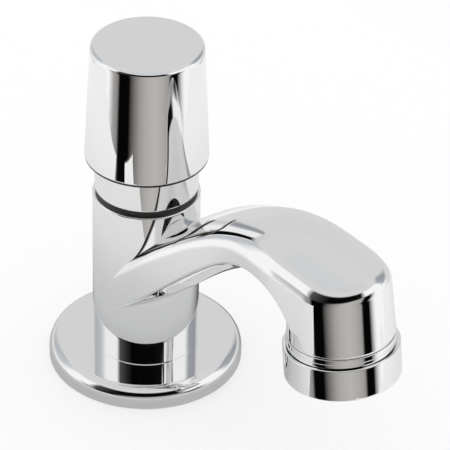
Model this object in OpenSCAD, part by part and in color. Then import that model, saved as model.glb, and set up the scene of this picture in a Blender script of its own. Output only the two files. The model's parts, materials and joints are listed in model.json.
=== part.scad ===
// Push timed tap: a single-hole basin tap with a push cap and a slow-closing cartridge.
// Millimetres. The deck face is z = 0, the body stands on +Z and the spout points to -Y.

/* [Base] */
// Radius of the escutcheon
esc_r = 38.5; // [34:0.5:46]
// Height of the escutcheon's flat top over the deck
esc_h = 8.7; // [7:0.1:12]
// Height of its upright rim
esc_rim = 3.7; // [2.5:0.1:5]
// Width of its rounded upper edge
esc_round = 4.6; // [2:0.1:7]
// Thickness of the escutcheon's top plate
esc_plate = 2.5; // [1.8:0.1:3.5]
// Width of the land that carries the base gasket
gasket_w = 5; // [3:0.5:8]
// Thickness of the base gasket
gasket_t = 2; // [1:0.1:3]
// Width of the metal rim outside the gasket
rim_w = 3.3; // [2:0.1:5]

/* [Shank] */
// Outer radius of the threaded shank, half-inch straight thread
shank_r = 10.45; // [9.5:0.05:12]
// Radius of the water bore in the shank
shank_bore = 7.2; // [5.5:0.1:8]
// Length of the shank below the deck
shank_l = 57; // [45:1:80]
// Length of the shank screwed into the body
shank_engage = 16; // [12:0.5:20]
// Thickness of the deck that the nut is drawn up to
deck_t = 20; // [6:1:30]
// Outer radius of the deck washers
deck_washer_r = 22; // [19:0.5:26]
// Thickness of the rubber deck washer
rubber_t = 3; // [2:0.1:4]
// Thickness of the steel deck washer
steel_t = 1.5; // [1:0.1:2.5]
// Width across the flats of the lock nut
nut_flats = 36; // [32:0.5:42]
// Height of the lock nut
nut_h = 9; // [7:0.5:14]

/* [Body] */
// Radius of the upright barrel
body_r = 21; // [20:0.1:24]
// Height of the barrel's top face over the deck
body_top = 78.5; // [77.5:0.1:84]
// Width of the chamfer round the barrel's top
body_chamfer = 0.5; // [0.3:0.1:1.5]
// Height of the inlet chamber over the shank
chamber_h = 15.3; // [14.5:0.1:17]
// Radius of the inlet chamber
chamber_r = 8; // [7.4:0.1:9]

/* [Spout arm] */
// Reach of the outlet from the barrel's axis
reach = 104; // [100:0.5:125]
// Height of the outlet's lower face over the deck
outlet_z = 47; // [40:0.5:52]
// Forward lean of the outlet
outlet_tilt = 6.5; // [3:0.5:9]
// Roof height where it leaves the barrel's axis
root_top = 49; // [44:0.5:54]
// Underside height at the barrel's axis
root_bottom = 31; // [27:0.5:34]
// Sag of the arm's rounded belly at its root
belly = 7; // [3:0.5:9]
// Sag of the belly at the neck
belly_neck = 2.5; // [1:0.5:4]
// Half width of the arm at its root
root_w = 20.7; // [18:0.1:20.8]
// Length over which the root keeps that width
root_straight = 16; // [10:0.5:22]
// Distance of the neck from the barrel's axis
neck_y = 53; // [46:0.5:60]
// Half width of the arm at its neck
neck_w = 16.2; // [14:0.1:18.5]
// Distance of the roof's crest from the barrel's axis
crest_y = 72; // [66:0.5:78]
// Height of the roof's crest over the deck
crest_z = 93.4; // [91:0.2:98]
// Thickness of the arm under its crest
crest_t = 9.4; // [8.5:0.1:12]
// Height of the roof at its front edge
front_z = 87.5; // [85:0.1:91]
// Rise of the arm's middle over its upper edges
crown = 3.2; // [1:0.1:5.5]
// Rise of the head's middle over its upper edges
head_crown = 6; // [2:0.1:8]
// Radius of the arm's upper edges
arm_round = 4.5; // [2:0.1:6]
// Radius of the head's upper edge
head_round = 4.5; // [1.5:0.1:6]
// Radius of the arm's lower edges
arm_round_low = 2; // [0.8:0.1:3]
// Length of the head behind its axis that keeps its full width
head_back = 14; // [10:0.5:17]
// Length over which the belly runs out past the crest
belly_out = 12; // [8:0.5:15]
// Distance from the outlet's axis back to where the arm's underside ends in the head
drop_back = 9; // [7:0.5:12]
// Depth of that end under the roof's crest
drop_depth = 24; // [22:0.1:26]
// Radius of the outlet head under the roof
head_r = 19.7; // [19:0.1:20.5]
// Radius of the outlet head at its foot
head_foot_r = 20.4; // [20:0.1:21]
// Wall of the cored waterway
arm_wall = 3.2; // [2.6:0.1:3.6]

/* [Outlet] */
// Radius of the outlet ring
ring_r = 22.1; // [21.8:0.1:24]
// Height of the ring's smooth wall
ring_h = 13.2; // [11:0.1:16]
// Width of the lip on top of that wall
ring_lip = 0.85; // [0.6:0.05:1.2]
// Width of the groove inside the lip
ring_groove = 0.4; // [0.2:0.05:0.6]
// Rise of each step on the ring's shoulder
step_h = 1.9; // [1:0.05:2.4]
// Radius of the head's threaded spigot
spigot_r = 17; // [16:0.1:18]
// Radius of the water bore in the head
head_bore = 12; // [10:0.5:13]
// Radius of the opening in the ring's foot
mouth_r = 13.5; // [12:0.1:14.5]
// Thickness of the ring's foot
ring_foot = 2; // [1.5:0.1:3]
// Thickness of the spray disc
spray_t = 1.6; // [1:0.1:2.5]
// Thickness of the outlet washer
washer_t = 2; // [1:0.1:3]
// Radius of the flow regulator's core
regulator_r = 9.5; // [8:0.1:10]
// Height of the flow regulator's core
regulator_h = 6; // [4:0.5:9]

/* [Cartridge] */
// Radius of the timing piston
piston_r = 9.4; // [8.5:0.1:10]
// Height of the timing piston
piston_h = 4; // [3:0.1:5]
// Height of its cup seal
cup_h = 2; // [1.5:0.1:3]
// Depth of the piston below the sleeve's top at rest
piston_drop = 2.5; // [1:0.1:4]
// Wall of the cartridge sleeve at its waist
sleeve_wall = 2; // [1.5:0.1:2.6]
// Width of the sleeve's sealing lands over its waist
sleeve_land = 1.45; // [1.2:0.05:1.8]
// Length of the cartridge sleeve
sleeve_l = 24.8; // [23.5:0.1:26]
// Radius of the windows in the sleeve
window_r = 2; // [1.2:0.1:2.4]
// Number of windows
windows = 6; // [4:1:8]
// Thickness of the valve seat
seat_t = 4; // [3:0.1:5]
// Radius of the valve seat's opening
seat_r = 4.8; // [4.2:0.1:5.4]
// Thickness of the seat gasket
seat_gasket_t = 1.2; // [0.8:0.1:2]
// Radius of the valve washer
valve_r = 6.6; // [6.2:0.1:7]
// Thickness of the valve washer
valve_t = 3.2; // [2.5:0.1:4]

/* [Push cap] */
// Travel of the push cap
travel = 8; // [5:0.5:9]
// Radius of the stem in its bush
stem_r = 4; // [3.4:0.1:4.4]
// Radius of the stem's lower rod
rod_r = 3; // [2.4:0.1:3.3]
// Wall of the stem bush
bush_wall = 2.5; // [1.8:0.1:3.5]
// Step of the bonnet's collar in from the barrel
collar_step = 0.8; // [0.3:0.1:1.5]
// Height of the bonnet over the barrel
collar_h = 20.5; // [18:0.1:24]
// Height of the shadow groove under the collar
groove_h = 2.3; // [1:0.1:3]
// Depth of that groove
groove_d = 1.8; // [1:0.1:2.4]
// Thickness of the guide ring's lip under the cap's rim
guide_lip = 0.9; // [0.5:0.1:1.5]
// Length of the guide ring inside the cap
guide_l = 3; // [2:0.1:5]
// Overlap of the cap's skirt on the collar
cap_lap = 3.6; // [2:0.1:6]
// Clearance of the cap's skirt round the collar
cap_gap = 1.56; // [0.8:0.02:2.5]
// Wall of the cap's skirt
cap_wall = 2.3; // [1.6:0.1:3]
// Height of the cap
cap_h = 48.2; // [44:0.2:56]
// Taper of the cap's radius from rim to top
cap_taper = 2.3; // [1:0.1:3]
// Radius of the cap's upper edge
cap_round = 2; // [1:0.1:4]
// Rise of the cap's domed top
cap_dome = 0.7; // [0.2:0.1:2]
// Thickness of the cap's top
cap_top_t = 3.6; // [2.5:0.1:5]
// Length of the return spring at rest
spring_l = 23.5; // [22:0.5:25]
// Mean radius of the return spring
spring_r = 7; // [6.4:0.1:8]
// Radius of the spring wire
wire_r = 0.75; // [0.5:0.05:0.9]
// Number of turns in the spring
turns = 8; // [6:1:9]
// Radius of the cap's set screw
set_screw_r = 2; // [1.5:0.1:2.5]

/* [Clearances] */
// Clearance of fixed fits and threads
fit = 0.05; // [0.02:0.01:0.1]
// Running clearance of the stem in its bush
run_fit = 0.05; // [0.02:0.01:0.1]
// Gap between the washer and the seat at rest
seat_gap = 0.05; // [0.02:0.01:0.2]

/* [Hidden] */
$fn = 72;

chrome = [0.80, 0.81, 0.82];
brass = [0.74, 0.60, 0.32];
steel = [0.62, 0.63, 0.65];
rubber = [0.13, 0.13, 0.14];
acetal = [0.90, 0.89, 0.85];

eps = 0.01;
// Levels of the fixed pieces, from the deck up
socket_top = esc_h + shank_engage;
seat_z = socket_top + chamber_h;
seat_top = seat_z + seat_t;
sleeve_z = seat_top + seat_gasket_t;
sleeve_top = sleeve_z + sleeve_l;
bonnet_top = body_top + collar_h;
// Radii of the cartridge, from the piston out
piston_gap = 0.1;
piston_bore = piston_r + piston_gap;
waist_r = piston_bore + sleeve_wall;
sleeve_r = waist_r + sleeve_land;
cart_bore = sleeve_r + fit;
bonnet_ledge = 3;
thread_r = cart_bore + bonnet_ledge;
collar_r = body_r - collar_step;
// Sleeve: floor, window row and waist
floor_t = 2.4;
window_z = sleeve_z + floor_t + window_r + 0.8;
window_start = 2 * window_r + 3;
waist_low = sleeve_z + 1.8;
waist_top = window_z + window_r + 4.5;
ring_section = 0.9;
sleeve_ring_z = [waist_top + 2.6, waist_top + 6.2];
// Stem seal and bush in the bonnet
bush_r = stem_r + run_fit + bush_wall;
bush_flange_t = 1.5;
bush_flange_r = spring_r + wire_r + 1.2;
bush_l = 11;
stem_ring_section = (bush_wall - 0.1) / 2;
seal_z = bonnet_top - bush_l - 2 * stem_ring_section;
chamber_roof = seal_z - 1.5;
stem_hole = stem_r + 0.4;
// Moving stack on the stem, at rest
lip_h = 0.8;
valve_top = seat_z - lip_h - seat_gap;
valve_bottom = valve_top - valve_t;
nose_r = 2;
screw_head_h = 2.2;
screw_head_r = 4.5;
screw_r = 1.2;
screw_l = 9;
piston_top = sleeve_top - piston_drop;
piston_z = piston_top - piston_h;
cup_z = piston_z - cup_h;
spring_z = bonnet_top + bush_flange_t;
spring_top = spring_z + spring_l;
cup_t = 1.5;
cup_skirt = 2;
cup_r = spring_r + wire_r + 1.6;
clip_t = 1;
clip_z = spring_top + cup_t;
clip_groove = 0.6;
boss_z = clip_z + clip_t + 0.5;
// Push cap
rim_z = bonnet_top - cap_lap;
rim_r = collar_r + cap_gap + cap_wall;
cap_top = rim_z + cap_h;
cap_top_r = rim_r - cap_taper;
cap_roof = cap_top - cap_top_t;
rim_round = 0.5;
guide_inset = 0.2;
guide_r = rim_r - cap_wall - fit;
guide_taper = cap_taper * guide_l / (cap_roof - 1 - rim_z);
boss_r = stem_r + 3.5;
socket_end = cap_roof - 1.4;
stem_top = socket_end - 0.1;
set_screw_z = (boss_z + stem_top) / 2;
set_screw_l = boss_r - stem_r;
// Under the deck
under_deck = -deck_t;
steel_z = under_deck - rubber_t - steel_t;
nut_z = steel_z - nut_h;
relief_top = nut_z - 0.5;
relief_l = 2;
relief_d = 0.5;
strainer_rim = 1.2;
strainer_rim_t = 1.5;
strainer_wall = 0.7;
strainer_gap = 0.5;
strainer_l = 18;
strainer_rows = 3;
strainer_holes = 8;
strainer_hole_r = 1.1;
// Outlet, along its leaning axis from the ring's lower face
spray_z = ring_foot;
regulator_z = spray_z + spray_t;
regulator_rim_t = 1;
washer_z = regulator_z + regulator_rim_t;
spigot_z = washer_z + washer_t;
steps = 2;
shoulder_r = ring_r - ring_lip - ring_groove;
step_w = (shoulder_r - head_foot_r) / steps;
lip_groove_d = 1;
head_gap = 0.15;
head_foot = ring_h + steps * step_h + head_gap;
insert_r = spigot_r - 0.6;
// Spout arm: knots of its curves are [distance, height or half width, slope]
root_rise = 0.92;
under_rise = 0.6;
front_fall = -0.12;
drop_y = reach - drop_back;
drop_z = crest_z - drop_depth;
drop_fall = -1.6;
roof_y = axis_y(front_z);
front_y = roof_y + head_r;
roof_line = [[0, root_top, root_rise], [crest_y, crest_z, 0], [front_y, front_z, front_fall]];
head_y = roof_y - head_back;
round_line = [[0, arm_round, 0], [neck_y, arm_round, 0], [head_y, head_round, 0]];
crown_line = [[0, crown, 0], [neck_y, crown, 0], [head_y, head_crown, 0]];
belly_line = [[0, belly, 0], [neck_y, belly_neck, 0], [crest_y + belly_out, 0, 0]];
under_line = [
    [0, root_bottom, under_rise],
    [crest_y, crest_z - crest_t, 0],
    [drop_y, drop_z, drop_fall]
];
head_skin = 0.06;
head_w = head_r + head_skin;
side_line = [[0, root_w, 0], [root_straight, root_w, 0], [neck_y, neck_w, 0], [head_y, head_w, 0]];
cone_top_z = along(roof_line, roof_y) - head_round - 0.5;
cone_l = (cone_top_z - outlet_z) / cos(outlet_tilt);
cone_cap = head_round * 0.8;
arm_stations = 32;
fan_stations = 12;
fan_end = 89;
half_steps = 7;
core_start = cart_bore + 2;
core_stations = 16;
core_half_steps = 4;
core_round = 1;
core_share = 0.6;
foot_chamfer = 0.3;
gasket_inset = 0.35;
port_z = (waist_low + waist_top) / 2;
port_r = 4;

// Distance of the outlet's leaning axis from the barrel at height z
function axis_y(z) = reach - (z - outlet_z) * tan(outlet_tilt);

// Radius of the outlet head at height z
function head_r_at(z) =
    let (foot_z = outlet_z + head_foot, t = (z - foot_z) / (crest_z - foot_z))
    head_foot_r + (head_r - head_foot_r) * t;

// Cubic between two knots, level beyond them
function cubic(a, b, y) =
    let (h = b[0] - a[0], t = max(0, min(1, (y - a[0]) / h)))
    (1 + 2 * t) * (1 - t)^2 * a[1] + t * (1 - t)^2 * h * a[2]
    + t^2 * (3 - 2 * t) * b[1] + t^2 * (t - 1) * h * b[2];

// Curve through a list of knots
function along(knots, y, i = 0) =
    (i >= len(knots) - 2 || y <= knots[i + 1][0])
        ? cubic(knots[i], knots[i + 1], y)
        : along(knots, y, i + 1);

// Fall of a rounded edge at distance d inside it
function edge_fall(d, r) = let (q = max(0, min(r, r - d))) r - sqrt(max(0, r^2 - q^2));

function arc(cx, cy, r, from, to, n) =
    [for (i = [0:n]) let (a = from + (to - from) * i / n) [cx + r * cos(a), cy + r * sin(a)]];

// Positions across the arm from -1 to 1, closer together at the edges
function across(n) = [for (i = [-n:n]) sin(90 * i / n)];

// Height of the arm's roof at x across and y along, where the arm is w wide to each side
function roof_z(x, y, w) =
    let (
        past = max(0, y - roof_y),
        span = past > 0 ? head_r : w,
        d = sqrt(w^2 + past^2) - sqrt(x^2 + past^2)
    )
    along(roof_line, y) + along(crown_line, y) * (1 - (x / span)^2)
    - edge_fall(d, along(round_line, y));

// Height of the arm's underside
function under_z(x, y, w) =
    along(under_line, y) - along(belly_line, y) * (1 - (x / w)^2) + edge_fall(w - abs(x), arm_round_low);

// Growth of the arm's foot where it runs into the drafted head
function flare(y) =
    let (t = max(0, min(1, (y - crest_y) / (roof_y - crest_y))))
    t^2 * (3 - 2 * t) * (head_r_at(along(under_line, y)) - head_r);

// One section of the arm: its roof from left to right, then its underside back
function section(top_y, top_w, foot_y, foot_w) = concat(
    [for (f = across(half_steps)) [top_w * f, -top_y, roof_z(top_w * f, top_y, top_w)]],
    [for (f = across(half_steps)) [-foot_w * f, -foot_y, under_z(foot_w * f, foot_y, foot_w)]]
);

// Sections of the solid arm and its round front
function arm_sections() = concat(
    [for (i = [0:arm_stations]) let (y = roof_y * i / arm_stations, w = along(side_line, y))
        section(y, w, y, w + flare(y))],
    [for (i = [1:fan_stations]) let (
            a = fan_end * i / fan_stations,
            foot = head_r_at(drop_z) + head_skin
        )
        section(roof_y + head_w * sin(a), head_w * cos(a), axis_y(drop_z) + foot * sin(a), foot * cos(a))]
);

// Fall of the waterway's edges at the share f of its half width w
function core_edge(w, f) = edge_fall(w - abs(w * f), core_round);

// Sections of the cored waterway inside the arm
function core_sections() =
    [for (i = [0:core_stations]) let (
            y = core_start + (roof_y - core_start) * i / core_stations,
            w = along(side_line, y) - arm_wall,
            low = along(under_line, y) + arm_wall,
            high = along(roof_line, y) - arm_wall,
            arch = along(crown_line, y) * core_share
        )
        concat(
            [for (f = across(core_half_steps))
                [w * f, -y, high + arch * (1 - f^2) - core_edge(w, f)]],
            [for (f = across(core_half_steps))
                [-w * f, -y, low - along(belly_line, y) * (1 - f^2) + core_edge(w, f)]]
        )];

// Closed skin over a row of sections
module loft(rows) {
    n = len(rows[0]);
    last = (len(rows) - 1) * n;
    points = [for (row = rows) each row];
    sides = [for (j = [0:len(rows) - 2], i = [0:n - 1])
        let (a = j * n + i, b = j * n + (i + 1) % n)
        each [[a, b, b + n], [a, b + n, a + n]]];
    back = [for (i = [1:n - 2]) [0, i + 1, i]];
    front = [for (i = [1:n - 2]) [last, last + i, last + i + 1]];
    polyhedron(points, concat(sides, back, front), convexity = 6);
}

// Places its children on the outlet's leaning axis, from the ring's lower face up
module on_outlet() {
    translate([0, -reach, outlet_z]) rotate([-outlet_tilt, 0, 0]) children();
}

module ring(r_out, r_in, z, h) {
    translate([0, 0, z]) difference() {
        cylinder(r = r_out, h = h);
        translate([0, 0, -1]) cylinder(r = r_in, h = h + 2);
    }
}

module o_ring(r_in, section_r, z) {
    translate([0, 0, z]) rotate_extrude() translate([r_in + section_r, 0]) circle(r = section_r);
}

module push_cap() color(chrome) difference() {
    union() {
        rotate_extrude() polygon(concat(
            [[rim_r - cap_wall, rim_z]],
            arc(rim_r - rim_round, rim_z + rim_round, rim_round, -90, 0, 6),
            arc(cap_top_r - cap_round, cap_top - cap_round, cap_round, 0, 82, 8),
            [for (i = [8:-1:0]) let (r = (cap_top_r - cap_round) * i / 8)
                [r, cap_top + cap_dome * (1 - (i / 8)^2)]],
            [[0, cap_roof], [cap_top_r - cap_wall - 1, cap_roof]],
            [[cap_top_r - cap_wall, cap_roof - 1]]
        ));
        translate([0, 0, boss_z]) cylinder(r = boss_r, h = cap_roof - boss_z + eps);
    }
    translate([0, 0, boss_z - 1]) cylinder(r = stem_r + fit, h = socket_end - boss_z + 1);
    translate([0, 0, set_screw_z]) rotate([-90, 0, 0]) cylinder(r = set_screw_r + fit, h = rim_r + 2);
}

module cap_guide() color(rubber) rotate_extrude() polygon([
    [collar_r + run_fit, rim_z - guide_lip], [rim_r - guide_inset - 0.3, rim_z - guide_lip],
    [rim_r - guide_inset, rim_z - guide_lip + 0.3], [rim_r - guide_inset, rim_z - fit],
    [guide_r, rim_z - fit], [guide_r - guide_taper, rim_z + guide_l],
    [collar_r + run_fit, rim_z + guide_l]
]);

module cap_set_screw() color(steel) translate([0, stem_r + fit, set_screw_z]) rotate([-90, 0, 0])
    difference() {
        cylinder(r = set_screw_r, h = set_screw_l);
        translate([0, 0, set_screw_l - 2]) cylinder(r = set_screw_r * 0.55, h = 3, $fn = 6);
    }

module plunger_stem() color(brass) difference() {
    union() {
        translate([0, 0, piston_top]) cylinder(r = stem_r, h = stem_top - piston_top);
        translate([0, 0, valve_top]) cylinder(r = rod_r, h = piston_top - valve_top + eps);
        translate([0, 0, valve_bottom]) cylinder(r = nose_r, h = valve_t + eps);
    }
    ring(stem_r + 1, stem_r - clip_groove, clip_z, clip_t);
    translate([0, 0, valve_bottom - 1]) cylinder(r = screw_r + fit, h = screw_l + 1.5);
}

module spring_cup() color(steel) {
    ring(cup_r, stem_r + fit, spring_top, cup_t);
    ring(cup_r, cup_r - 0.8, spring_top - cup_skirt, cup_skirt + cup_t);
}

module stem_circlip() color(steel) difference() {
    ring(stem_r + 2, stem_r - clip_groove + fit, clip_z, clip_t);
    translate([-1.6, 0, clip_z - 1]) cube([3.2, stem_r + 4, clip_t + 2]);
}

module timing_piston() color(acetal) difference() {
    ring(piston_r, rod_r + fit, piston_z, piston_h);
    ring(piston_r + 1, piston_r - 0.8, piston_z + piston_h / 2 - 0.5, 1);
}

module piston_cup_seal() color(rubber) rotate_extrude() polygon([
    [rod_r + fit, cup_z], [piston_r - 2.4, cup_z], [piston_r - 1, cup_z - cup_h * 0.4],
    [piston_r + piston_gap / 2, cup_z - cup_h * 0.4], [piston_r - 0.3, cup_z + cup_h],
    [rod_r + fit, cup_z + cup_h]
]);

module valve_washer() color(rubber) ring(valve_r, nose_r + fit, valve_bottom, valve_t);

module valve_washer_screw() color(steel) difference() {
    union() {
        translate([0, 0, valve_bottom - screw_head_h]) cylinder(r = screw_head_r, h = screw_head_h);
        translate([0, 0, valve_bottom - eps]) cylinder(r = screw_r, h = screw_l);
    }
    translate([-screw_head_r - 1, -0.6, valve_bottom - screw_head_h - 1])
        cube([2 * screw_head_r + 2, 1.2, 2]);
}

// Spring wire: one tube along a helix with closed end turns
spring_sides = 6;
spring_rings = 8;
spring_count = turns * spring_rings;
end_turns = 1;
end_pitch = 2 * wire_r + 0.45;
free_z0 = spring_z + wire_r;
free_z1 = spring_top - wire_r;
mid_pitch = (free_z1 - free_z0 - 2 * end_turns * end_pitch) / (turns - 2 * end_turns);
function spring_height(t) =
    free_z0 + end_pitch * min(t, end_turns)
    + mid_pitch * max(0, min(t, turns - end_turns) - end_turns)
    + end_pitch * max(0, t - turns + end_turns);
function spring_point(k) =
    let (a = 360 * k / spring_rings)
    [spring_r * cos(a), spring_r * sin(a), spring_height(k / spring_rings)];
function spring_ring(k) =
    let (p = spring_point(k), a = 360 * k / spring_rings)
    [for (s = [0:spring_sides - 1]) let (b = 360 * s / spring_sides)
        [p[0] + wire_r * cos(b) * cos(a), p[1] + wire_r * cos(b) * sin(a), p[2] + wire_r * sin(b)]];
spring_gap = min([for (k = [0:spring_count - spring_rings])
    norm(spring_point(k + spring_rings) - spring_point(k)) - 2 * wire_r]);

module return_spring() color(steel) {
    echo(spring_least_gap = spring_gap);
    loft([for (k = [0:spring_count]) spring_ring(k)]);
}

module bonnet() color(chrome) rotate_extrude() polygon([
    [piston_bore + 0.3, sleeve_top], [thread_r - fit, sleeve_top], [thread_r - fit, body_top],
    [collar_r - groove_d, body_top], [collar_r - groove_d, body_top + groove_h],
    [collar_r - 0.3, body_top + groove_h], [collar_r, body_top + groove_h + 0.3],
    [collar_r, bonnet_top - 0.8], [collar_r - 0.8, bonnet_top],
    [bush_r + fit, bonnet_top], [bush_r + fit, seal_z], [stem_hole, seal_z],
    [stem_hole, chamber_roof], [piston_bore + 0.3, chamber_roof]
]);

module bonnet_gasket() color(rubber)
    ring(collar_r - gasket_inset, collar_r - groove_d + fit, body_top, groove_h);

module stem_bush() color(brass) difference() {
    union() {
        translate([0, 0, bonnet_top - bush_l]) cylinder(r = bush_r, h = bush_l + eps);
        translate([0, 0, bonnet_top]) cylinder(r = bush_flange_r, h = bush_flange_t);
    }
    translate([0, 0, bonnet_top - bush_l - 1])
        cylinder(r = stem_r + run_fit, h = bush_l + bush_flange_t + 2);
}

module stem_o_ring() color(rubber)
    o_ring(stem_r + run_fit, stem_ring_section, seal_z + stem_ring_section);

module cartridge_sleeve() color(acetal) difference() {
    rotate_extrude() polygon([
        [seat_r, sleeve_z], [sleeve_r, sleeve_z], [sleeve_r, waist_low], [waist_r, waist_low],
        [waist_r, waist_top], [sleeve_r, waist_top], [sleeve_r, sleeve_top],
        [piston_bore, sleeve_top], [piston_bore, sleeve_z + floor_t], [seat_r, sleeve_z + floor_t]
    ]);
    for (i = [0:windows - 1]) rotate([0, 0, 360 * (i + 0.5) / windows])
        translate([window_start, 0, window_z]) rotate([0, 90, 0])
            cylinder(r = window_r, h = sleeve_r + 1 - window_start);
    for (z = sleeve_ring_z)
        ring(sleeve_r + 1, sleeve_r - 2 * ring_section - 0.1, z - ring_section - 0.1,
            2 * ring_section + 0.2);
}

module sleeve_o_rings() color(rubber)
    for (z = sleeve_ring_z) o_ring(sleeve_r - 2 * ring_section, ring_section, z);

module valve_seat() color(brass) rotate_extrude() polygon([
    [seat_r, seat_z - lip_h], [seat_r + 1, seat_z - lip_h], [seat_r + 1.4, seat_z],
    [sleeve_r, seat_z], [sleeve_r, seat_top], [seat_r, seat_top]
]);

module seat_gasket() color(rubber) ring(sleeve_r, seat_r + 2, seat_top, seat_gasket_t);

module body() color(chrome) difference() {
    union() {
        rotate_extrude() polygon([
            [0, esc_h], [body_r - foot_chamfer, esc_h], [body_r, esc_h + foot_chamfer],
            [body_r, body_top - body_chamfer],
            [body_r - body_chamfer, body_top], [0, body_top]
        ]);
        loft(arm_sections());
        on_outlet() translate([0, 0, head_foot]) cylinder(
            r1 = head_foot_r, r2 = head_r_at(cone_top_z), h = cone_l - head_foot);
        on_outlet() translate([0, 0, cone_l]) cylinder(
            r1 = head_r_at(cone_top_z), r2 = head_r_at(cone_top_z) - cone_cap, h = cone_cap);
        on_outlet() translate([0, 0, spigot_z]) cylinder(r = spigot_r, h = head_foot - spigot_z + 1);
    }
    translate([0, 0, sleeve_top]) cylinder(r = thread_r, h = body_top - sleeve_top + 1);
    translate([0, 0, seat_z]) cylinder(r = cart_bore, h = sleeve_top - seat_z + 1);
    translate([0, 0, socket_top - 1]) cylinder(r = chamber_r, h = chamber_h + 2);
    translate([0, 0, esc_h - 1]) cylinder(r = shank_r + fit, h = shank_engage + 1);
    translate([0, 0, port_z]) rotate([90, 0, 0]) cylinder(r = port_r, h = core_start + 4);
    loft(core_sections());
    on_outlet() translate([0, 0, spigot_z - 1])
        cylinder(r = head_bore, h = cone_l - spigot_z - arm_wall);
}

module inlet_strainer() color(steel) difference() {
    r = shank_bore - strainer_gap;
    union() {
        translate([0, 0, socket_top - strainer_rim_t])
            cylinder(r = shank_bore + strainer_rim - fit, h = strainer_rim_t);
        translate([0, 0, socket_top - strainer_l]) cylinder(r = r, h = strainer_l - eps);
    }
    translate([0, 0, socket_top - strainer_l + strainer_wall])
        cylinder(r = r - strainer_wall, h = strainer_l + 1);
    for (row = [0:strainer_rows - 1], i = [0:strainer_holes - 1])
        rotate([0, 0, 360 * (i + row / 2) / strainer_holes])
            translate([r - 2, 0, socket_top - strainer_l + 3.5 + row * 4])
                rotate([0, 90, 0]) cylinder(r = strainer_hole_r, h = 4);
}

module shank() color(brass) difference() {
    rotate_extrude() polygon([
        [shank_bore, -shank_l], [shank_r - 1, -shank_l], [shank_r, 1 - shank_l],
        [shank_r, relief_top - relief_l], [shank_r - relief_d, relief_top - relief_l],
        [shank_r - relief_d, relief_top], [shank_r, relief_top],
        [shank_r, socket_top], [shank_bore, socket_top]
    ]);
    translate([0, 0, socket_top - strainer_rim_t])
        cylinder(r = shank_bore + strainer_rim, h = strainer_rim_t + 1);
}

module escutcheon() color(chrome) rotate_extrude() polygon(concat(
    [[shank_r + 0.4, esc_h], [shank_r + 0.4, esc_h - esc_plate]],
    [[esc_r - rim_w - gasket_w, esc_h - esc_plate], [esc_r - rim_w - gasket_w, gasket_t]],
    [[esc_r - rim_w, gasket_t], [esc_r - rim_w, 0], [esc_r - 0.4, 0], [esc_r, 0.4]],
    [for (a = [0:9:90])
        [esc_r - esc_round * (1 - cos(a)), esc_rim + (esc_h - esc_rim) * sin(a)]]
));

module base_gasket() color(rubber) ring(esc_r - rim_w - fit, esc_r - rim_w - gasket_w, 0, gasket_t);

module deck_washer_rubber() color(rubber)
    ring(deck_washer_r, shank_r + 0.3, under_deck - rubber_t, rubber_t);

module deck_washer_steel() color(steel) ring(deck_washer_r, shank_r + 0.3, steel_z, steel_t);

module lock_nut() color(brass) difference() {
    union() {
        translate([0, 0, nut_z]) cylinder(r = nut_flats / sqrt(3), h = nut_h - 2, $fn = 6);
        translate([0, 0, steel_z - 2]) cylinder(r = nut_flats / 2 + 2.5, h = 2);
    }
    translate([0, 0, nut_z - 1]) cylinder(r = shank_r + fit, h = nut_h + 2);
}

module outlet_ring() color(chrome) on_outlet() rotate_extrude() polygon(concat(
    [[mouth_r, 0], [ring_r - 0.6, 0], [ring_r, 0.6], [ring_r, ring_h - 0.4], [ring_r - 0.4, ring_h]],
    [[ring_r - ring_lip, ring_h], [ring_r - ring_lip, ring_h - lip_groove_d]],
    [[shoulder_r, ring_h - lip_groove_d]],
    [for (i = [1:steps]) each [
        [shoulder_r - (i - 1) * step_w, ring_h + i * step_h - 0.3],
        [shoulder_r - (i - 1) * step_w - 0.15, ring_h + i * step_h],
        [i < steps ? shoulder_r - i * step_w : spigot_r + 1, ring_h + i * step_h]
    ]],
    [[spigot_r + fit, ring_h + steps * step_h], [spigot_r + fit, ring_foot], [mouth_r, ring_foot]]
));

module outlet_washer() color(rubber) on_outlet() ring(insert_r, head_bore, washer_z, washer_t);

module flow_regulator() color(acetal) on_outlet() difference() {
    union() {
        translate([0, 0, regulator_z]) cylinder(r = insert_r, h = regulator_rim_t);
        translate([0, 0, regulator_z]) cylinder(r = regulator_r, h = regulator_h);
    }
    for (i = [0:5]) rotate([0, 0, 60 * i]) translate([regulator_r * 0.6, 0, regulator_z - 1])
        cylinder(r = 1.4, h = regulator_h + 2);
}

module spray_disc() color(steel) on_outlet() difference() {
    translate([0, 0, spray_z]) cylinder(r = insert_r, h = spray_t);
    for (n = [6, 12], i = [0:n - 1]) rotate([0, 0, 360 * i / n])
        translate([mouth_r * n / 16, 0, spray_z - 1]) cylinder(r = 0.9, h = spray_t + 2);
}

push_cap();
cap_guide();
cap_set_screw();
plunger_stem();
spring_cup();
stem_circlip();
timing_piston();
piston_cup_seal();
valve_washer();
valve_washer_screw();
return_spring();
bonnet();
bonnet_gasket();
stem_bush();
stem_o_ring();
cartridge_sleeve();
sleeve_o_rings();
valve_seat();
seat_gasket();
body();
inlet_strainer();
shank();
escutcheon();
base_gasket();
deck_washer_rubber();
deck_washer_steel();
lock_nut();
outlet_ring();
outlet_washer();
flow_regulator();
spray_disc();
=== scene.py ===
import bpy
import json
import math
from mathutils import Matrix, Vector


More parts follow.
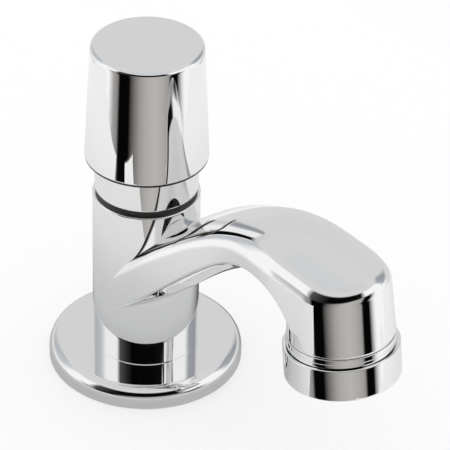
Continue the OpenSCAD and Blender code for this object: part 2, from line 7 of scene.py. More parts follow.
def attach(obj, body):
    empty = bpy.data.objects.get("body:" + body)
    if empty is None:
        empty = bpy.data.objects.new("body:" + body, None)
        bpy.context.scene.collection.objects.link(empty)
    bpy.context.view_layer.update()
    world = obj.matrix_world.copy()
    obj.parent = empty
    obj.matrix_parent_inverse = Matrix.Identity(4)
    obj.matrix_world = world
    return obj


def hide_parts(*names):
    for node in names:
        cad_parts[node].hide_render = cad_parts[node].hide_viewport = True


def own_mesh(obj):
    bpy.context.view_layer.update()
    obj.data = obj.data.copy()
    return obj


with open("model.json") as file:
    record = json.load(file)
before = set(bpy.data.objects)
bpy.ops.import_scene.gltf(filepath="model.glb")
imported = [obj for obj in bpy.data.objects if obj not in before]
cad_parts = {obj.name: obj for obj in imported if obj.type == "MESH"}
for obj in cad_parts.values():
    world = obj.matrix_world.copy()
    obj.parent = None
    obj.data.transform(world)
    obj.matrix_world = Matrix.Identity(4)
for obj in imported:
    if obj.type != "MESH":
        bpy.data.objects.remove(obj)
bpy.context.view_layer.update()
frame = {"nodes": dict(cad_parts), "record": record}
print("frame loaded:", len(frame["nodes"]), "nodes")

mm = 0.001
roundSegments = 192  # facets round a turned form
sharpAngle = 32  # degrees between faces from which an edge shades as sharp
mixFirst, mixSecond, mixResult = 6, 7, 2  # the colour sockets of a Mix node


# small helpers

def hexToLinear(code):
    values = [int(code[i:i + 2], 16) / 255 for i in (1, 3, 5)]
    linear = [v / 12.92 if v <= 0.04045 else ((v + 0.055) / 1.055) ** 2.4 for v in values]
    return (*linear, 1.0)


def addNode(tree, kind, settings=None, inputs=None):
    node = tree.nodes.new(kind)
    for name, value in (settings or {}).items():
        setattr(node, name, value)
    for socket, value in (inputs or {}).items():  # a socket's name or number
        if isinstance(value, bpy.types.NodeSocket):
            tree.links.new(value, node.inputs[socket])
        else:
            node.inputs[socket].default_value = value
    return node


def newFinish(name, shaderInputs):
    material = bpy.data.materials.new(name)
    material.use_nodes = True
    tree = material.node_tree
    tree.nodes.clear()
    shader = addNode(tree, "ShaderNodeBsdfPrincipled", None, shaderInputs)
    addNode(tree, "ShaderNodeOutputMaterial", None, {"Surface": shader.outputs["BSDF"]})
    place = addNode(tree, "ShaderNodeTexCoord").outputs["Object"]
    return material, tree, shader, place


def setRamp(node, stops):
    ramp = node.color_ramp
    while len(ramp.elements) > 1:
        ramp.elements.remove(ramp.elements[-1])
    ramp.elements[0].position = stops[0][0]
    ramp.elements[0].color = hexToLinear(stops[0][1])
    for position, code in stops[1:]:
        ramp.elements.new(position).color = hexToLinear(code)


# finishes

def chromePlateFinish():
    # Chromium plate over buffed cast brass: a clear mirror with next to no colour of its own,
    # a little softer in patches where it has been wiped.
    material, tree, shader, place = newFinish("polishedChromePlate", {
        "Base Color": hexToLinear("#F4F4F4"), "Metallic": 1.0})
    wipeSize = 18 * mm
    wipe = addNode(tree, "ShaderNodeTexNoise", None,
                   {"Vector": place, "Scale": 1 / wipeSize, "Detail": 3.0, "Roughness": 0.55})
    sheen = addNode(tree, "ShaderNodeMapRange", None, {
        "Value": wipe.outputs["Fac"], "From Min": 0.35, "From Max": 0.7, "To Min": 0.012, "To Max": 0.03})
    tree.links.new(sheen.outputs["Result"], shader.inputs["Roughness"])
    return material


def turnedBrassFinish():
    # Yellow brass off the lathe: fine rings that catch the light, a little tarnish.
    material, tree, shader, place = newFinish("turnedBrass", {"Metallic": 1.0})
    tarnishSize = 9 * mm
    tarnish = addNode(tree, "ShaderNodeTexNoise", None,
                      {"Vector": place, "Scale": 1 / tarnishSize, "Detail": 5.0, "Roughness": 0.6})
    tone = addNode(tree, "ShaderNodeValToRGB", None, {"Fac": tarnish.outputs["Fac"]})
    setRamp(tone, [(0.3, "#B08D4A"), (0.7, "#D9BC78")])
    tree.links.new(tone.outputs["Color"], shader.inputs["Base Color"])
    ringPitch = 0.5 * mm  # real feed marks are finer, drawn so that they show
    bandLength = 0.314  # one band of the wave pattern at scale 1
    rings = addNode(tree, "ShaderNodeTexWave", {"bands_direction": "Z"}, {
        "Vector": place, "Scale": bandLength / ringPitch, "Distortion": 0.4, "Detail": 1.0})
    cut = addNode(tree, "ShaderNodeMapRange", None, {
        "Value": rings.outputs["Fac"], "To Min": 0.18, "To Max": 0.34})
    tree.links.new(cut.outputs["Result"], shader.inputs["Roughness"])
    bump = addNode(tree, "ShaderNodeBump", None, {
        "Height": rings.outputs["Fac"], "Strength": 0.25, "Distance": 0.05 * mm})
    tree.links.new(bump.outputs["Normal"], shader.inputs["Normal"])
    return material


def stainlessFinish():
    # Pressed and drawn stainless steel: cool grey with a satin grain.
    material, tree, shader, place = newFinish("drawnStainless", {
        "Base Color": hexToLinear("#B9BBBD"), "Metallic": 1.0})
    grainSize = 0.8 * mm
    grain = addNode(tree, "ShaderNodeTexNoise", None,
                    {"Vector": place, "Scale": 1 / grainSize, "Detail": 4.0, "Roughness": 0.7})
    satin = addNode(tree, "ShaderNodeMapRange", None, {
        "Value": grain.outputs["Fac"], "From Min": 0.3, "From Max": 0.7, "To Min": 0.2, "To Max": 0.36})
    tree.links.new(satin.outputs["Result"], shader.inputs["Roughness"])
    return material


def rubberFinish():
    # Moulded nitrile rubber: near black, dull, with a faint grey bloom.
    material, tree, shader, place = newFinish("mouldedRubber", {"Roughness": 0.42, "IOR": 1.52})
    bloomSize = 4 * mm
    bloom = addNode(tree, "ShaderNodeTexNoise", None,
                    {"Vector": place, "Scale": 1 / bloomSize, "Detail": 6.0, "Roughness": 0.65})
    tone = addNode(tree, "ShaderNodeValToRGB", None, {"Fac": bloom.outputs["Fac"]})
    setRamp(tone, [(0.35, "#080808"), (0.75, "#141415")])
    tree.links.new(tone.outputs["Color"], shader.inputs["Base Color"])
    bump = addNode(tree, "ShaderNodeBump", None, {
        "Height": bloom.outputs["Fac"], "Strength": 0.3, "Distance": 0.05 * mm})
    tree.links.new(bump.outputs["Normal"], shader.inputs["Normal"])
    return material


def acetalFinish():
    # Moulded acetal: warm white, waxy, lightly see-through to light.
    material, tree, shader, place = newFinish("mouldedAcetal", {
        "Roughness": 0.38, "IOR": 1.48, "Subsurface Weight": 0.1, "Subsurface Scale": 1.5 * mm})
    flowSize = 6 * mm
    flow = addNode(tree, "ShaderNodeTexNoise", None,
                   {"Vector": place, "Scale": 1 / flowSize, "Detail": 3.0, "Roughness": 0.5})
    tone = addNode(tree, "ShaderNodeValToRGB", None, {"Fac": flow.outputs["Fac"]})
    setRamp(tone, [(0.3, "#E4E1D8"), (0.7, "#EFEDE6")])
    tree.links.new(tone.outputs["Color"], shader.inputs["Base Color"])
    return material


finishes = {
    "chrome_plate": chromePlateFinish(),
    "turned_brass": turnedBrassFinish(),
    "stainless": stainlessFinish(),
    "black_rubber": rubberFinish(),
    "acetal": acetalFinish(),
}
slotOfNode = {part["node"]: part["material_slot"] for part in frame["record"]["subparts"]}
for nodeName, node in frame["nodes"].items():
    node.data.materials.clear()
    node.data.materials.append(finishes[slotOfNode[nodeName]])
print("finishes:", len(finishes))


# meshes

def arcPoints(centre, radius, start, end, count):
    angles = [math.radians(start + (end - start) * i / count) for i in range(count + 1)]
    return [(centre[0] + radius * math.cos(a), centre[1] + radius * math.sin(a)) for a in angles]


def heldEdges(profile, closed, hold=0.25):
    # extra points close to the ends of long straight runs keep the reflections true
    held = []
    following = profile[1:] + profile[:1] if closed else profile[1:]
    for a, b in zip(profile, following):
        held.append(a)
        length = math.dist(a, b)
        if length > 4 * hold:
            for t in (hold / length, 1 - hold / length):
                held.append((a[0] + (b[0] - a[0]) * t, a[1] + (b[1] - a[1]) * t))
    if not closed:
        held.append(profile[-1])
    return held


def addPiece(name, vertices, faces, slot, body, node):
    mesh = bpy.data.meshes.new(name)
    mesh.from_pydata([tuple(c * mm for c in v) for v in vertices], [], faces)
    mesh.validate()
    mesh.polygons.foreach_set("use_smooth", [True] * len(mesh.polygons))
    mesh.set_sharp_from_angle(angle=math.radians(sharpAngle))
    piece = bpy.data.objects.new(name, mesh)
    bpy.context.scene.collection.objects.link(piece)
    mesh.materials.append(finishes[slot])
    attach(piece, body)
    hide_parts(node)
    return piece


def turned(profile, segments, closed=True, place=Matrix.Identity(4)):
    # a turned form: the profile is (radius, height) in mm, anticlockwise
    points = heldEdges(profile, closed)
    vertices, rows = [], []
    for radius, height in points:
        if radius < 1e-6:
            rows.append([len(vertices)] * segments)
            vertices.append(place @ Vector((0, 0, height)))
            continue
        rows.append(list(range(len(vertices), len(vertices) + segments)))
        for s in range(segments):
            angle = 2 * math.pi * s / segments
            vertices.append(place @ Vector((radius * math.cos(angle), radius * math.sin(angle), height)))
    faces = []
    for low, high in zip(rows, rows[1:] + rows[:1] if closed else rows[1:]):
        for s in range(segments):
            n = (s + 1) % segments
            quad = [low[s], low[n], high[n], high[s]]
            corner = [v for i, v in enumerate(quad) if v not in quad[:i]]
            if len(corner) > 2:
                faces.append(corner)
    return vertices, faces


def joined(*forms):
    vertices, faces = [], []
    for formVertices, formFaces in forms:
        start = len(vertices)
        vertices += formVertices
        faces += [[i + start for i in face] for face in formFaces]
    return vertices, faces


def cubic(a, b, y):
    # a smooth curve between two knots, each a (place, value, slope)
    h = b[0] - a[0]
    t = max(0.0, min(1.0, (y - a[0]) / h))
    return ((1 + 2 * t) * (1 - t) ** 2 * a[1] + t * (1 - t) ** 2 * h * a[2]
            + t * t * (3 - 2 * t) * b[1] + t * t * (t - 1) * h * b[2])


def along(knots, y):
    for a, b in zip(knots, knots[1:]):
        if y <= b[0] or b is knots[-1]:
            return cubic(a, b, y)


def edgeFall(d, r):
    # how far an edge rounded with radius r has dropped at a distance d from its side
    q = max(0.0, min(r, r - d))
    return r - math.sqrt(max(0.0, r * r - q * q))


# base plate

basePlate = {"radius": 38.5, "height": 8.7, "rim": 3.7, "round": 4.6, "plate": 2.5, "gasketWidth": 5.0,
             "gasket": 2.0, "rimWidth": 3.3, "hole": 10.85, "foot": 0.4, "edgeSteps": 24}


def makeBasePlate(p):
    outer = p["radius"]
    land = outer - p["rimWidth"] - p["gasketWidth"]
    angles = [math.radians(90 * i / p["edgeSteps"]) for i in range(p["edgeSteps"] + 1)]
    edge = [(outer - p["round"] * (1 - math.cos(a)), p["rim"] + (p["height"] - p["rim"]) * math.sin(a))
            for a in angles]
    profile = [(p["hole"], p["height"] - p["plate"]), (land, p["height"] - p["plate"]), (land, p["gasket"]),
               (outer - p["rimWidth"], p["gasket"]), (outer - p["rimWidth"], 0.0), (outer - p["foot"], 0.0),
               (outer, p["foot"])] + edge + [(p["hole"], p["height"])]
    addPiece("basePlate", *turned(profile, roundSegments), "chrome_plate", "tap", "escutcheon")


makeBasePlate(basePlate)
print("base plate")


# body casting: barrel, spout arm and outlet head

barrel = {"radius": 21.0, "foot": 8.7, "top": 78.5, "chamfer": 0.5, "footChamfer": 0.3,
          "socket": 10.5, "socketTop": 24.7, "chamber": 8.0, "seat": 40.0, "cartridge": 13.0,
          "ledge": 70.0, "thread": 16.0}
outlet = {"reach": 104.0, "height": 47.0, "tilt": 6.5, "footRadius": 20.4, "topRadius": 19.7,
          "foot": 17.15, "spigot": 17.0, "bore": 12.0, "spigotFoot": 6.6, "coneTop": 38.7, "coneCap": 3.6,
          "tuck": 0.2}
arm = {"rootTop": 49.0, "rootRise": 0.92, "rootBottom": 31.0, "underRise": 0.6, "rootWidth": 20.9,
       "straight": 16.0, "neckY": 53.0, "neckWidth": 16.2, "crestY": 72.0, "crestZ": 93.4,
       "crestDepth": 9.4, "frontZ": 87.5, "frontFall": -0.12, "crown": 3.2, "headCrown": 6.0,
       "headBack": 14.0, "round": 4.5, "roundLow": 1.0, "dropBack": 9.0, "dropDepth": 24.0,
       "dropFall": -1.6, "belly": 7.5, "bellyNeck": 8.0, "bellyOut": 6.0, "tuck": 0.4, "leave": 24.0}
# how finely the arm is drawn: rows along it, steps across it and down its sides, and its rounded edge
armMesh = {"rootRows": 12, "rows": 90, "fan": 66.0, "fanRows": 30, "across": 12, "down": 6, "hold": 0.3,
           "edgeShare": 0.26, "edge": [0.02, 0.1, 0.25, 0.45, 0.7, 1.0, 1.4, 1.9, 2.5, 3.2, 4.0, 4.8]}


def outletPlace(p):
    return (Matrix.Translation((0, -p["reach"], p["height"]))
            @ Matrix.Rotation(math.radians(-p["tilt"]), 4, "X"))


def makeBody(b, o, a, m):
    tilt = math.radians(o["tilt"])
    place = outletPlace(o)

    def axisY(z):
        return o["reach"] - (z - o["height"]) * math.tan(tilt)

    roofY = axisY(a["frontZ"])
    headY = roofY - a["headBack"]
    roofRadius = o["topRadius"]
    dropZ = a["crestZ"] - a["dropDepth"]
    dropY = o["reach"] - a["dropBack"]
    roofLine = [(0, a["rootTop"], a["rootRise"]), (a["crestY"], a["crestZ"], 0),
                (roofY + roofRadius, a["frontZ"], a["frontFall"])]
    underLine = [(0, a["rootBottom"], a["underRise"]), (a["crestY"], a["crestZ"] - a["crestDepth"], 0),
                 (dropY, dropZ, a["dropFall"])]
    sideLine = [(0, a["rootWidth"], 0), (a["straight"], a["rootWidth"], 0), (a["neckY"], a["neckWidth"], 0),
                (headY, roofRadius, 0)]
    crownLine = [(0, a["crown"], 0), (a["neckY"], a["crown"], 0), (headY, a["headCrown"], 0)]
    bellyLine = [(0, a["belly"], 0), (a["neckY"], a["bellyNeck"], 0), (a["crestY"] + a["bellyOut"], 0, 0)]
    depths = m["edge"]

    def spread(w):
        # positions across from the edge in, fine over the rounded edge
        edge = [1 - min(d, m["edgeShare"] * w * d / depths[-1]) / w for d in depths]
        core = [edge[-1] * (1 - i / m["across"]) for i in range(1, m["across"] + 1)]
        half = [1.0] + edge + core
        return [-f for f in half] + half[-2::-1]

    def wall(top, bottom):
        length = math.dist(top, bottom)
        hold = min(m["hold"], length / (m["down"] + 2)) / length
        steps = [hold + (1 - 2 * hold) * i / m["down"] for i in range(m["down"] + 1)]
        return [tuple(t + (u - t) * s for t, u in zip(top, bottom)) for s in steps]

    def section(topY, topWidth, bottomY, bottomWidth, bottomZ, past=0.0):
        # one loop round the arm; past is how far it lies in front of the head's centre
        roof, under = [], []
        rim = math.hypot(topWidth, past)
        span = roofRadius if past else topWidth
        for f in spread(topWidth):
            x = topWidth * f
            y = topY(x)
            d = rim - math.hypot(x, past)
            roof.append((x, -y, along(roofLine, y) + along(crownLine, y) * (1 - (x / span) ** 2)
                         - edgeFall(d, a["round"])))
        for f in reversed(spread(bottomWidth)):
            x = bottomWidth * f
            y = bottomY(x)
            under.append((x, -y, bottomZ(y) - along(bellyLine, y) * (1 - f * f)
                          + edgeFall(bottomWidth - abs(x), a["roundLow"])))
        return roof + wall(roof[-1], under[0]) + under + wall(under[-1], roof[0])

    def underside(y):
        return along(underLine, y)

    # from inside the barrel's wall to a straight row clear of it
    rows = []
    tuckRadius = b["radius"] - a["tuck"]
    leave = a["leave"]
    for i in range(m["rootRows"] + 1):
        share = i / m["rootRows"]

        def startY(x, share=share):
            inBarrel = math.sqrt(max(0.0, tuckRadius ** 2 - x * x))
            return inBarrel + (leave - inBarrel) * share

        w = along(sideLine, leave * share)
        rows.append(section(startY, w, startY, w, underside))
    # along the arm to the middle of the head
    footSlope = o["footRadius"] - roofRadius
    footZ = o["height"] + o["foot"] * math.cos(tilt)
    for i in range(1, m["rows"]):
        y = leave + (roofY - leave) * i / m["rows"]
        w = along(sideLine, y)
        low = along(underLine, y)
        blend = max(0.0, min(1.0, (y - a["crestY"]) / (roofY - a["crestY"])))
        flare = footSlope * blend * blend * (3 - 2 * blend) * (a["crestZ"] - low) / (a["crestZ"] - footZ)
        rows.append(section(lambda x, y=y: y, w, lambda x, y=y: y, w + flare, underside))
    # round the front of the head, closer together towards its edge
    turns = [math.radians(m["fan"] * i / m["fanRows"]) for i in range(m["fanRows"] + 1)]
    turns += [math.asin(1 - d / roofRadius) for d in reversed(depths)
              if 1 - d / roofRadius > math.sin(math.radians(m["fan"]))]
    for angle in turns:
        forward = o["footRadius"] * math.sin(angle)
        footY = o["reach"] + forward * math.cos(tilt) - o["foot"] * math.sin(tilt)
        edgeZ = o["height"] + forward * math.sin(tilt) + o["foot"] * math.cos(tilt)
        past = roofRadius * math.sin(angle)
        rows.append(section(lambda x, y=roofY + past: y, roofRadius * math.cos(angle),
                            lambda x, y=footY: y, o["footRadius"] * math.cos(angle),
                            lambda y, z=edgeZ: z, past))
    n = len(rows[0])
    vertices = [p for row in rows for p in row]
    faces = [[j * n + i, (j + 1) * n + i, (j + 1) * n + (i + 1) % n, j * n + (i + 1) % n]
             for j in range(len(rows) - 1) for i in range(n)]
    # the root closes in upright strips inside the barrel's wall, clear of the cartridge bore
    across = len(spread(a["rootWidth"]))
    lowEnd = n // 2 + across - 1
    for i in range(across - 1):
        farSide = list(range(across, n // 2)) if i == across - 2 else []
        nearSide = list(range(lowEnd + 1, n)) if i == 0 else []
        faces.append([i, i + 1] + farSide + [lowEnd - i - 1, lowEnd - i] + nearSide)
    faces.append(list(reversed(range((len(rows) - 1) * n, len(rows) * n))))

    tube = [(b["socket"], b["foot"]), (b["radius"] - b["footChamfer"], b["foot"]),
            (b["radius"], b["foot"] + b["footChamfer"])]
    tube += arcPoints((b["radius"] - b["chamfer"], b["top"] - b["chamfer"]), b["chamfer"], 0, 90, 6)
    tube += [(b["thread"], b["top"]), (b["thread"], b["ledge"]),
             (b["cartridge"], b["ledge"]), (b["cartridge"], b["seat"]), (b["chamber"], b["seat"]),
             (b["chamber"], b["socketTop"]), (b["socket"], b["socketTop"])]
    head = [(o["bore"], o["spigotFoot"]), (o["spigot"], o["spigotFoot"]), (o["spigot"], o["foot"]),
            (o["footRadius"] - o["tuck"], o["foot"]), (roofRadius - o["tuck"], o["coneTop"]),
            (roofRadius - o["tuck"] - o["coneCap"], o["coneTop"] + o["coneCap"]),
            (o["bore"], o["coneTop"] + o["coneCap"])]
    forms = joined(turned(tube, roundSegments), turned(head, roundSegments, True, place), (vertices, faces))
    addPiece("bodyCasting", *forms, "chrome_plate", "tap", "body")


makeBody(barrel, outlet, arm, armMesh)
print("body casting")


# outlet ring

outletRing = {"radius": 22.1, "height": 13.2, "edge": 0.6, "bevel": 0.4, "lip": 0.85, "grooveDepth": 1.0,
              "shoulder": 20.85, "steps": 2, "stepRise": 1.9, "stepIn": 0.225, "stepBevel": 0.2,
              "mouth": 13.5, "foot": 2.0, "thread": 17.05}


def makeOutletRing(p):
    lipInside = p["radius"] - p["lip"]
    grooveFloor = p["height"] - p["grooveDepth"]
    profile = [(p["mouth"], 0.0)]
    profile += arcPoints((p["radius"] - p["edge"], p["edge"]), p["edge"], -90, 0, 8)
    profile += arcPoints((p["radius"] - p["bevel"], p["height"] - p["bevel"]), p["bevel"], 0, 90, 6)
    profile += [(lipInside, p["height"]), (lipInside, grooveFloor), (p["shoulder"], grooveFloor)]
    for i in range(p["steps"]):
        r = p["shoulder"] - i * p["stepIn"]
        z = p["height"] + (i + 1) * p["stepRise"]
        profile += arcPoints((r - p["stepBevel"], z - p["stepBevel"]), p["stepBevel"], 0, 90, 4)
    profile += [(p["thread"], p["height"] + p["steps"] * p["stepRise"]), (p["thread"], p["foot"]),
                (p["mouth"], p["foot"])]
    addPiece("outletRing", *turned(profile, roundSegments, True, outletPlace(outlet)),
             "chrome_plate", "tap", "outlet_ring")


makeOutletRing(outletRing)
print("outlet ring")


# bonnet

bonnet = {"thread": 15.95, "foot": 70.0, "seat": 78.5, "neck": 18.4, "collarFoot": 80.8, "collar": 20.2,
          "top": 99.0, "edge": 0.8, "lip": 0.5, "piston": 9.8, "roof": 84.1, "stemHole": 4.4, "seal": 85.6,
          "bush": 6.6}


def makeBonnet(p):
    profile = [(p["piston"], p["foot"]), (p["thread"], p["foot"]), (p["thread"], p["seat"]),
               (p["neck"], p["seat"]), (p["neck"], p["collarFoot"])]
    profile += arcPoints((p["collar"] - p["lip"], p["collarFoot"] + p["lip"]), p["lip"], -90, 0, 4)
    profile += arcPoints((p["collar"] - p["edge"], p["top"] - p["edge"]), p["edge"], 0, 90, 6)
    profile += [(p["bush"], p["top"]), (p["bush"], p["seal"]), (p["stemHole"], p["seal"]),
                (p["stemHole"], p["roof"]), (p["piston"], p["roof"])]
    addPiece("bonnetCollar", *turned(profile, roundSegments), "chrome_plate", "tap", "bonnet")


makeBonnet(bonnet)
print("bonnet")


# push cap

pushCap = {"rim": 24.06, "rimZ": 95.4, "rimRound": 0.5, "wall": 2.3, "topRadius": 21.76, "top": 143.6,
           "round": 2.0, "dome": 0.7, "roof": 140.0, "boss": 7.5, "bossZ": 127.0, "socket": 4.05,
           "socketTop": 138.6, "innerBevel": 1.0, "sideLean": 2.0, "domeLean": 4.0, "domeSteps": 24,
           "screwHole": 2.05, "screwZ": 132.75, "drillFrom": 2.0, "drillLength": 30.0, "drillSegments": 48}


def makePushCap(p):
    flat = p["topRadius"] - p["round"]
    profile = [(p["rim"] - p["wall"], p["rimZ"])]
    profile += arcPoints((p["rim"] - p["rimRound"], p["rimZ"] + p["rimRound"]), p["rimRound"], -90, 0, 12)
    profile += arcPoints((flat, p["top"] - p["round"]), p["round"], p["sideLean"], 90 - p["domeLean"], 16)
    shares = [i / p["domeSteps"] for i in range(p["domeSteps"], -1, -1)]
    profile += [(flat * s, p["top"] + p["dome"] * (1 - s ** 2)) for s in shares]
    inside = p["topRadius"] - p["wall"]
    profile += [(0.0, p["socketTop"]), (p["socket"], p["socketTop"]), (p["socket"], p["bossZ"]),
                (p["boss"], p["bossZ"]), (p["boss"], p["roof"]), (inside - p["innerBevel"], p["roof"]),
                (inside, p["roof"] - p["innerBevel"])]
    piece = addPiece("capShell", *turned(profile, roundSegments), "chrome_plate", "plunger", "push_cap")

    # the set screw's hole, drilled from the back
    drillPlace = (Matrix.Translation((0, p["drillFrom"], p["screwZ"]))
                  @ Matrix.Rotation(math.radians(-90), 4, "X"))
    drillProfile = [(0.0, 0.0), (p["screwHole"], 0.0), (p["screwHole"], p["drillLength"]),
                    (0.0, p["drillLength"])]
    drillVertices, drillFaces = turned(drillProfile, p["drillSegments"], False, drillPlace)
    drillMesh = bpy.data.meshes.new("capDrill")
    drillMesh.from_pydata([tuple(c * mm for c in v) for v in drillVertices], [], drillFaces)
    drill = bpy.data.objects.new("capDrill", drillMesh)
    bpy.context.scene.collection.objects.link(drill)
    cut = piece.modifiers.new("screwHole", "BOOLEAN")
    cut.operation = "DIFFERENCE"
    cut.solver = "EXACT"
    cut.object = drill
    bpy.context.view_layer.update()
    cutMesh = bpy.data.meshes.new_from_object(piece.evaluated_get(bpy.context.evaluated_depsgraph_get()))
    piece.modifiers.clear()
    piece.data = cutMesh
    piece.data.set_sharp_from_angle(angle=math.radians(sharpAngle))
    bpy.data.objects.remove(drill)


makePushCap(pushCap)
print("push cap")


# return spring

returnSpring = {"radius": 7.0, "wire": 0.75, "low": 100.5, "high": 124.0, "turns": 8, "endTurns": 1,
                "endPitch": 1.95, "travel": 8.0, "stepsPerTurn": 40, "sides": 12}


def makeSpring(p):
    stepsPerTurn, sides = p["stepsPerTurn"], p["sides"]
    start, end = p["low"] + p["wire"], p["high"] - p["wire"]
    midPitch = (end - start - 2 * p["endTurns"] * p["endPitch"]) / (p["turns"] - 2 * p["endTurns"])
    vertices, faces = [], []
    count = p["turns"] * stepsPerTurn
    for k in range(count + 1):
        t = k / stepsPerTurn
        angle = 2 * math.pi * t
        z = (start + p["endPitch"] * min(t, p["endTurns"])
             + midPitch * max(0.0, min(t, p["turns"] - p["endTurns"]) - p["endTurns"])
             + p["endPitch"] * max(0.0, t - p["turns"] + p["endTurns"]))
        for s in range(sides):
            b = 2 * math.pi * s / sides
            r = p["radius"] + p["wire"] * math.cos(b)
            vertices.append((r * math.cos(angle), r * math.sin(angle), z + p["wire"] * math.sin(b)))
    for k in range(count):
        for s in range(sides):
            n = (s + 1) % sides
            faces.append([k * sides + s, (k + 1) * sides + s, (k + 1) * sides + n, k * sides + n])
    faces.append(list(range(sides)))
    faces.append(list(reversed(range(count * sides, (count + 1) * sides))))
    piece = addPiece("springCoil", vertices, faces, "stainless", "tap", "return_spring")
    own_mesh(piece)


makeSpring(returnSpring)
print("return spring")


# camera, at the photograph's angle, in degrees and mm

camera = {"azimuth": -47.0, "elevation": 34.54, "roll": 1.46, "distance": 1134.0, "height": 66.15,
          "right": 30.71, "up": -3.21, "lens": 232.9, "sensor": 36.0, "sight": 20000.0}


def makeCamera(p):
    a, e, roll = (math.radians(p[k]) for k in ("azimuth", "elevation", "roll"))
    back = Vector((math.sin(a) * math.cos(e), -math.cos(a) * math.cos(e), math.sin(e)))
    right = Vector((math.cos(a), math.sin(a), 0))
    up = back.cross(right)
    imageRight = right * math.cos(roll) + up * math.sin(roll)
    imageUp = up * math.cos(roll) - right * math.sin(roll)
    data = bpy.data.cameras.new("studioCamera")
    data.lens = p["lens"]
    data.sensor_width = p["sensor"]
    data.clip_end = p["sight"] * mm
    view = bpy.data.objects.new("studioCamera", data)
    spot = Vector((0, 0, p["height"])) + back * p["distance"] + right * p["right"] + up * p["up"]
    turn = Matrix((imageRight, imageUp, back)).transposed().to_4x4()
    view.matrix_world = Matrix.Translation(spot * mm) @ turn
    bpy.context.scene.collection.objects.link(view)
    bpy.context.scene.camera = view


makeCamera(camera)
print("camera")


# studio: a white tent with dark flags near the camera, a board that shows in the chrome, a white floor

tent = {
    # directions are degrees round from the camera, positive to its right
    "walls": [(-180, "#DCDCDC"), (-130, "#E4E4E4"), (-105, "#FFFFFF"), (-78, "#FFFFFF"), (-66, "#A8A6A4"),
              (-57, "#8C8A88"), (-53, "#060606"), (-33, "#060606"), (-27, "#5C5A58"), (-19, "#86837F"),
              (-10, "#A4A19E"), (0, "#B4B1AE"), (16, "#BEBBB8"), (32, "#B2AFAC"), (43, "#A09D9A"),
              (48, "#060606"), (62, "#060606"), (72, "#E0E0E0"), (78, "#FFFFFF"), (104, "#FFFFFF"),
              (130, "#DCDCDC"), (180, "#DCDCDC")],
    "sky": [(-180, "#DADADA"), (-156, "#DADADA"), (-138, "#B8BCC2"), (-112, "#C8CCD0"), (-94, "#FFFFFF"),
            (-64, "#FFFFFF"), (-56, "#505050"), (-40, "#2A2A2A"), (-28, "#060606"), (16, "#060606"),
            (38, "#101010"), (44, "#B0B0B0"), (50, "#FFFFFF"), (98, "#FFFFFF"), (112, "#A8ACB2"),
            (138, "#9CA0A6"), (156, "#DADADA"), (180, "#DADADA")],
    "roof": "#DCDCDC", "zenith": "#D4D6D8",
    # heights in degrees over the horizon where one gives way to the next
    "skyFrom": 4.0, "skyFull": 14.0, "roofFrom": 40.0, "roofFull": 48.0,
    "zenithFrom": 60.0, "zenithFull": 85.0,
}

# the board under the tap: a corner is cut out of it towards the camera and a slot out of its left side,
# and the tap's shade is painted into its colour: greyer towards the tap, with a painted shadow patch behind
# it
board = {"left": -218.0, "right": 260.0, "front": -214.0, "back": 260.0, "notchX": -45.0, "notchY": -80.0,
         "slotX": -178.0, "slotFront": -26.0, "slotBack": 36.0,
         # tone: painted shade, the board's colour greying towards the tap
         "tone": [(40, "#C2C3C4"), (60, "#CECFD0"), (130, "#E8E8E8"), (240, "#F8F8F8")],
         # shade: a painted shadow, a dark patch on the board behind and right of the tap
         "shadeX": 42.0, "shadeY": 22.0, "shade": [(15, "#50545A"), (66, "#FFFFFF")]}


def makeWorld(p):
    world = bpy.data.worlds.new("lightTent")
    bpy.context.scene.world = world
    world.use_nodes = True
    tree = world.node_tree
    tree.nodes.clear()
    direction = addNode(tree, "ShaderNodeTexCoord").outputs["Generated"]
    facing = math.radians(camera["azimuth"] - 90)
    fromCamera = addNode(tree, "ShaderNodeVectorRotate", {"rotation_type": "Z_AXIS"},
                         {"Vector": direction, "Angle": -facing})
    axes = addNode(tree, "ShaderNodeSeparateXYZ", None, {"Vector": fromCamera.outputs["Vector"]})
    bearing = addNode(tree, "ShaderNodeMath", {"operation": "ARCTAN2"},
                      {0: axes.outputs["Y"], 1: axes.outputs["X"]})
    share = addNode(tree, "ShaderNodeMapRange", None, {
        "Value": bearing.outputs["Value"], "From Min": -math.pi, "From Max": math.pi})
    ramps = {}
    for name in ("walls", "sky"):
        ramps[name] = addNode(tree, "ShaderNodeValToRGB", None, {"Fac": share.outputs["Result"]})
        setRamp(ramps[name], [((d + 180) / 360, code) for d, code in p[name]])
    seen = ramps["walls"].outputs["Color"]
    layers = (("sky", ramps["sky"].outputs["Color"]), ("roof", hexToLinear(p["roof"])),
              ("zenith", hexToLinear(p["zenith"])))
    for name, colour in layers:
        rise = addNode(tree, "ShaderNodeMapRange", {"interpolation_type": "SMOOTHSTEP"}, {
            "Value": axes.outputs["Z"], "From Min": math.sin(math.radians(p[name + "From"])),
            "From Max": math.sin(math.radians(p[name + "Full"]))})
        layer = addNode(tree, "ShaderNodeMix", {"data_type": "RGBA"}, {
            "Factor": rise.outputs["Result"], mixFirst: seen, mixSecond: colour})
        seen = layer.outputs[mixResult]
    path = addNode(tree, "ShaderNodeLightPath")
    mirror = addNode(tree, "ShaderNodeBackground", None, {"Color": seen, "Strength": 1.0})
    plain = addNode(tree, "ShaderNodeBackground", None, {"Color": hexToLinear("#FFFFFF"), "Strength": 1.0})
    both = addNode(tree, "ShaderNodeMixShader", None, {
        "Fac": path.outputs["Is Glossy Ray"],
        1: plain.outputs["Background"], 2: mirror.outputs["Background"]})
    addNode(tree, "ShaderNodeOutputWorld", None, {"Surface": both.outputs["Shader"]})


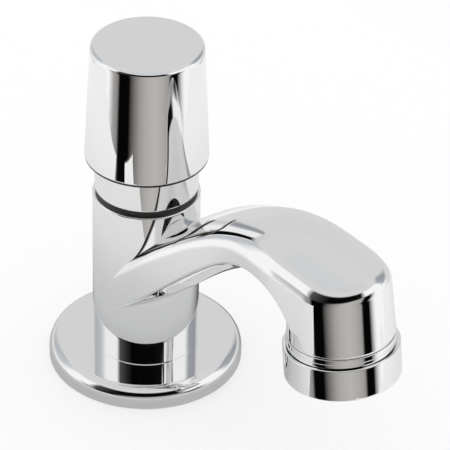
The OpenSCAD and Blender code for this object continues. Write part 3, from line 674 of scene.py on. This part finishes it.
def makeBoard(p):
    # Matt painted board: white, with painted shade in its colour, greyer close to the tap where less light
    # would reach it, and a painted shadow patch behind the tap.
    material, tree, shader, place = newFinish("mattBoardPaintedShade", {"Roughness": 0.9, "IOR": 1.45})
    centres = {"tone": (0, 0, 0), "shade": (p["shadeX"] * mm, p["shadeY"] * mm, 0)}
    paintedShades = []
    # each ramp is painted shade: it darkens the board's colour towards its centre
    for name, centre in centres.items():
        reach = p[name][-1][0]
        away = addNode(tree, "ShaderNodeVectorMath", {"operation": "DISTANCE"}, {0: place, 1: centre})
        share = addNode(tree, "ShaderNodeMapRange", None, {
            "Value": away.outputs["Value"], "From Max": reach * mm})
        tone = addNode(tree, "ShaderNodeValToRGB", None, {"Fac": share.outputs["Result"]})
        setRamp(tone, [(d / reach, code) for d, code in p[name]])
        tone.color_ramp.interpolation = "EASE"
        paintedShades.append(tone.outputs["Color"])
    shaded = addNode(tree, "ShaderNodeMix", {"data_type": "RGBA", "blend_type": "MULTIPLY"}, {
        "Factor": 1.0, mixFirst: paintedShades[0], mixSecond: paintedShades[1]})
    tree.links.new(shaded.outputs[mixResult], shader.inputs["Base Color"])
    outline = [(p["left"], p["notchY"]), (p["notchX"], p["notchY"]), (p["notchX"], p["front"]),
               (p["right"], p["front"]), (p["right"], p["back"]), (p["left"], p["back"]),
               (p["left"], p["slotBack"]), (p["slotX"], p["slotBack"]), (p["slotX"], p["slotFront"]),
               (p["left"], p["slotFront"])]
    mesh = bpy.data.meshes.new("deckBoard")
    mesh.from_pydata([(x * mm, y * mm, 0) for x, y in outline], [], [tuple(range(len(outline)))])
    mesh.materials.append(material)
    deck = bpy.data.objects.new("deckBoard", mesh)
    bpy.context.scene.collection.objects.link(deck)
    deck.visible_camera = False  # seen only in the chrome, on top of the plain floor
    deck.visible_diffuse = False
    deck.visible_shadow = False


floorPaper = {"halfWidth": 6000.0, "fibre": 3.0, "glow": 0.6}


def makeFloor(p):
    # White paper roll: flat white with hardly visible fibres. To the camera a share of it glows,
    # so that it stays white and the shadow on it is soft.
    material, tree, shader, place = newFinish("mattWhitePaper", {"Roughness": 0.9, "IOR": 1.45})
    fibre = addNode(tree, "ShaderNodeTexNoise", None, {
        "Vector": place, "Scale": 1 / (p["fibre"] * mm), "Detail": 2.0})
    tone = addNode(tree, "ShaderNodeValToRGB", None, {"Fac": fibre.outputs["Fac"]})
    setRamp(tone, [(0.3, "#FEFEFE"), (0.7, "#FFFFFF")])
    tree.links.new(tone.outputs["Color"], shader.inputs["Base Color"])
    path = addNode(tree, "ShaderNodeLightPath")
    share = addNode(tree, "ShaderNodeMath", {"operation": "MULTIPLY"},
                    {0: path.outputs["Is Camera Ray"], 1: p["glow"]})
    glow = addNode(tree, "ShaderNodeEmission", None, {"Color": hexToLinear("#FFFFFF"), "Strength": 1.0})
    both = addNode(tree, "ShaderNodeMixShader", None, {
        "Fac": share.outputs["Value"], 1: shader.outputs["BSDF"], 2: glow.outputs["Emission"]})
    tree.links.new(both.outputs["Shader"], tree.nodes["Material Output"].inputs["Surface"])
    half = p["halfWidth"] * mm
    corners = [(-half, -half, 0), (half, -half, 0), (half, half, 0), (-half, half, 0)]
    mesh = bpy.data.meshes.new("studioFloor")
    mesh.from_pydata(corners, [], [(0, 1, 2, 3)])
    mesh.materials.append(material)
    floor = bpy.data.objects.new("studioFloor", mesh)
    bpy.context.scene.collection.objects.link(floor)
    floor.visible_glossy = False  # the tent's walls, not the paper, show in the chrome


makeWorld(tent)
makeBoard(board)
makeFloor(floorPaper)
bpy.context.scene.view_settings.view_transform = "Standard"
print("studio")
